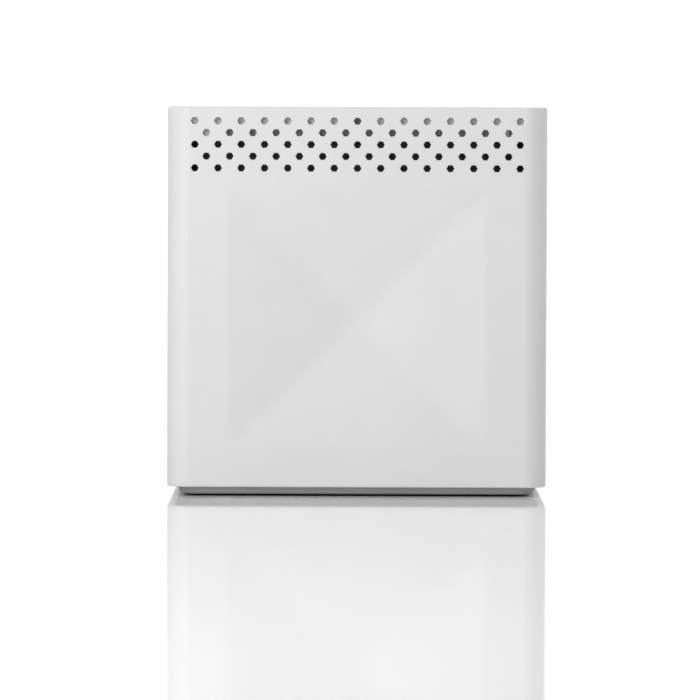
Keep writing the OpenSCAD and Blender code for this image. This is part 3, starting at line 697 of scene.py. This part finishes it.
# ---------- springs and contacts in the ports ----------

def bent_strip(shape, line, thick, across, width):
    """A strip of metal that follows a line of points, as wide as width along across."""
    sections = []
    for i, p in enumerate(line):
        along = (Vector(line[min(i + 1, len(line) - 1)]) - Vector(line[max(i - 1, 0)])).normalized()
        up = along.cross(Vector(across)).normalized() * thick / 2
        side = Vector(across) * width / 2 * (0.75 if i in (0, len(line) - 1) else 1.0)
        p = Vector(p)
        sections.append([p + side + up, p - side + up, p - side - up, p + side - up])
    shape.band(sections)
    shape.face(*sections[0])
    shape.face(*sections[-1])


def port_metal():
    """A bowed spring in each side of the network jacks, and four contacts under the USB tongue."""
    springs, contacts = Shape(), Shape()
    for node in ("wan_jack_shell", "lan_jack_shell"):
        low, high = box_mm(node)
        x, y, z = middle_x(node), high.y, low.z + SPRING_RISE
        for s in (-1, 1):
            bow = [(JACK_MOUTH - 0.1 - SPRING_BOW * math.sin(math.pi * t / 8) ** 2, y - 0.15 - 0.6 * t)
                   for t in range(9)]
            bent_strip(springs, [(x + s * u, v, z) for u, v in bow], 0.16, (0, 0, 1), 2.6)
    high = box_mm("usb_port_tongue")[1]
    under = high.z - USB_TONGUE_T
    for pin in USB_PINS:
        line = [(middle_x("usb_port_tongue") + pin, high.y - 0.4 - t, under - d)
                for t, d in ((0, -0.04), (0.3, 0.05), (1.2, 0.1), (4, 0.1), (7, 0.06), (8, -0.04))]
        bent_strip(contacts, line, 0.12, (1, 0, 0), 1.0)
    springs.build("jack_springs", "jack_steel")
    contacts.build("usb_contacts", "contact_gold")


JACK_MOUTH, SPRING_RISE, SPRING_BOW = 5.9, 7.2, 0.75
USB_TONGUE_T, USB_PINS = 1.84, (-3.5, -1.0, 1.0, 3.5)
port_metal()


# ---------- small parts on the main board ----------

def chip(bodies, ends, x, y, z, size, turned):
    """A two-ended part: a body with a rounded back, and a soldered cap over each end."""
    length, width, height = size

    def put(u, v, w):
        return (x + v, y + u, z + w) if turned else (x + u, y + v, z + w)

    def bar(shape, u0, u1, grow, bevel):
        w, h = width / 2 + grow, height + grow
        outline = [(-w, 0), (-w, h - bevel), (bevel - w, h), (w - bevel, h), (w, h - bevel), (w, 0)]
        inset = [(v * 0.9, q * 0.94) for v, q in outline]
        loops = [[put(u, v, q) for v, q in line] for u, line in
                 ((u0, inset), (u0 + bevel, outline), (u1 - bevel, outline), (u1, inset))]
        shape.band(loops)
        shape.face(*loops[0])
        shape.face(*loops[-1])

    cap = length * 0.22
    bar(bodies, cap - length / 2, length / 2 - cap, 0.0, height * 0.12)
    bar(ends, -length / 2, cap - length / 2, 0.03, height * 0.2)
    bar(ends, length / 2 - cap, length / 2, 0.03, height * 0.2)


def tree_mm(node):
    """A node's faces, ready for nearest-point and ray tests, in millimetres."""
    mesh = NODES[node].data
    return BVHTree.FromPolygons([v.co / MM for v in mesh.vertices], [list(f.vertices) for f in mesh.polygons])


def board_parts(count=90):
    """Seeded parts in the free places of the main board, clear of all the CAD nodes."""
    rng = random.Random(11)
    board_low, board_high = box_mm("main_board")
    board = tree_mm("main_board")
    trees = [tree_mm(name) for name in NODES if name not in ("main_board", "outer_casing", "top_cover")]
    bodies, ends = Shape(), Shape()
    taken = []
    for _ in range(count * 6):
        x = rng.uniform(board_low.x + BOARD_MARGIN, board_high.x - BOARD_MARGIN)
        y = rng.uniform(board_low.y + BOARD_MARGIN, board_high.y - BOARD_MARGIN)
        size = rng.choice(PART_SIZES)
        turned = rng.random() < 0.5
        at = Vector((x, y, board_high.z + 0.4))
        near = any((at - other).length < PART_PITCH for other in taken)
        if near or any(tree.find_nearest(at, PART_CLEAR)[0] for tree in trees):
            continue
        if board.ray_cast(at, Vector((0, 0, -1)), 1.0)[0] is None:
            continue
        taken.append(at)
        chip(bodies, ends, x, y, board_high.z, size, turned)
        if len(taken) == count:
            break
    bodies.build("board_part_bodies", "chip_black")
    ends.build("board_part_ends", "screw_steel")


BOARD_MARGIN, PART_PITCH, PART_CLEAR = 3, 2.6, 1.6
PART_SIZES = ((1.6, 0.8, 0.45), (1.0, 0.5, 0.35), (2.0, 1.25, 0.6))
board_parts()


# ---------- floor ----------

FLOOR_HALF, FLOOR_GLOW = 3.0, 0.145
PAINTED_CONTACT_SHADOW = (5, 1)            # the floor's painted glow fades in between these distances inside the walls; under the base it is off, a painted contact shadow
floor_mesh = bpy.data.meshes.new("floor")
ends = (-FLOOR_HALF, FLOOR_HALF)
floor_mesh.from_pydata([(x, y, 0) for y in ends for x in ends], [], [(0, 1, 3, 2)])
floor = bpy.data.objects.new("floor", floor_mesh)
scene.collection.objects.link(floor)
gloss = moulded("floor_gloss", (0.72, 0.72, 0.72), 0.05, 30, 0, 0.01, ior=1.4)
# The floor glows faintly though it is no lamp: painted light that whitens it and lights the base from below.
gloss.set("Emission Color", (1, 1, 1, 1))
across = [gloss.maths("ABSOLUTE", gloss.axis(name)) for name in ("X", "Y")]
reach = gloss.maths("MAXIMUM", *across)
# Painted contact shadow: the glow is off under the base and fades in towards its walls.
floor_glow_with_painted_shadow = gloss.ramp(reach, HALF - PAINTED_CONTACT_SHADOW[0], HALF - PAINTED_CONTACT_SHADOW[1], 0.0, FLOOR_GLOW)
gloss.link(floor_glow_with_painted_shadow, gloss.bsdf.inputs["Emission Strength"])
floor_mesh.materials.append(gloss.mat)


# ---------- light ----------

def studio_world(white, fill_low, fill_high, towards):
    """White to the eye and in gloss; softer light for the rest, brighter from one direction."""
    world = bpy.data.worlds.new("studio")
    scene.world = world
    world.use_nodes = True
    tree = world.node_tree
    background = tree.nodes["Background"]
    background.inputs["Color"].default_value = (1, 1, 1, 1)
    direction = tree.nodes.new("ShaderNodeTexCoord").outputs["Generated"]
    facing = tree.nodes.new("ShaderNodeVectorMath")
    facing.operation = "DOT_PRODUCT"
    facing.inputs[1].default_value = Vector(towards).normalized()
    tree.links.new(direction, facing.inputs[0])
    fill = tree.nodes.new("ShaderNodeMapRange")
    tree.links.new(facing.outputs["Value"], fill.inputs["Value"])
    for key, number in (("From Min", -1), ("From Max", 1), ("To Min", fill_low), ("To Max", fill_high)):
        fill.inputs[key].default_value = number
    path = tree.nodes.new("ShaderNodeLightPath")
    seen = tree.nodes.new("ShaderNodeMath")
    seen.operation = "MAXIMUM"
    tree.links.new(path.outputs["Is Camera Ray"], seen.inputs[0])
    tree.links.new(path.outputs["Is Glossy Ray"], seen.inputs[1])
    level = tree.nodes.new("ShaderNodeMix")
    tree.links.new(seen.outputs[0], level.inputs["Factor"])
    tree.links.new(fill.outputs["Result"], level.inputs["A"])
    level.inputs["B"].default_value = white
    tree.links.new(level.outputs["Result"], background.inputs["Strength"])


def softbox(name, at, aim, size, watts):
    data = bpy.data.lights.new(name, "AREA")
    data.shape = "RECTANGLE"
    data.size, data.size_y = size
    data.energy = watts
    lamp = bpy.data.objects.new(name, data)
    lamp.location = at
    lamp.rotation_euler = (Vector(aim) - Vector(at)).to_track_quat("-Z", "Y").to_euler()
    scene.collection.objects.link(lamp)
    return lamp


studio_world(1.12, 0.1, 0.32, (-0.2, 0.0, 0.9))
softbox("key", (-0.29, -0.6, 0.28), (0, 0, 0.05), (0.35, 0.35), 2.3)
softbox("side", (0.8, 0.25, 0.35), (0, 0, 0.05), (0.5, 0.5), 1.6)
softbox("overhead", (0.0, 0.4, 1.3), (0, 0, 0), (0.9, 0.9), 5)


# ---------- camera ----------

FRAME_WIDTH = 700
SCALE = 4.005               # frame units for each millimetre of the front face
EYE_DISTANCE, EYE_HEIGHT, ROLL = 1500, 94, 0.2
TARGET = Vector((-1.72, -HALF, 36.8)) * MM
EYE = Vector((-1.72, -HALF - EYE_DISTANCE, EYE_HEIGHT)) * MM
lens = bpy.data.cameras.new("camera")
lens.sensor_width = 36
lens.clip_end = 20
lens.lens = lens.sensor_width * (TARGET - EYE).length / (FRAME_WIDTH / SCALE * MM)
camera = bpy.data.objects.new("camera", lens)
scene.collection.objects.link(camera)
camera.location = EYE
camera.rotation_euler = (TARGET - EYE).to_track_quat("-Z", "Y").to_euler()
camera.rotation_euler.rotate_axis("Z", math.radians(ROLL))
scene.camera = camera
scene.view_settings.view_transform = "Standard"
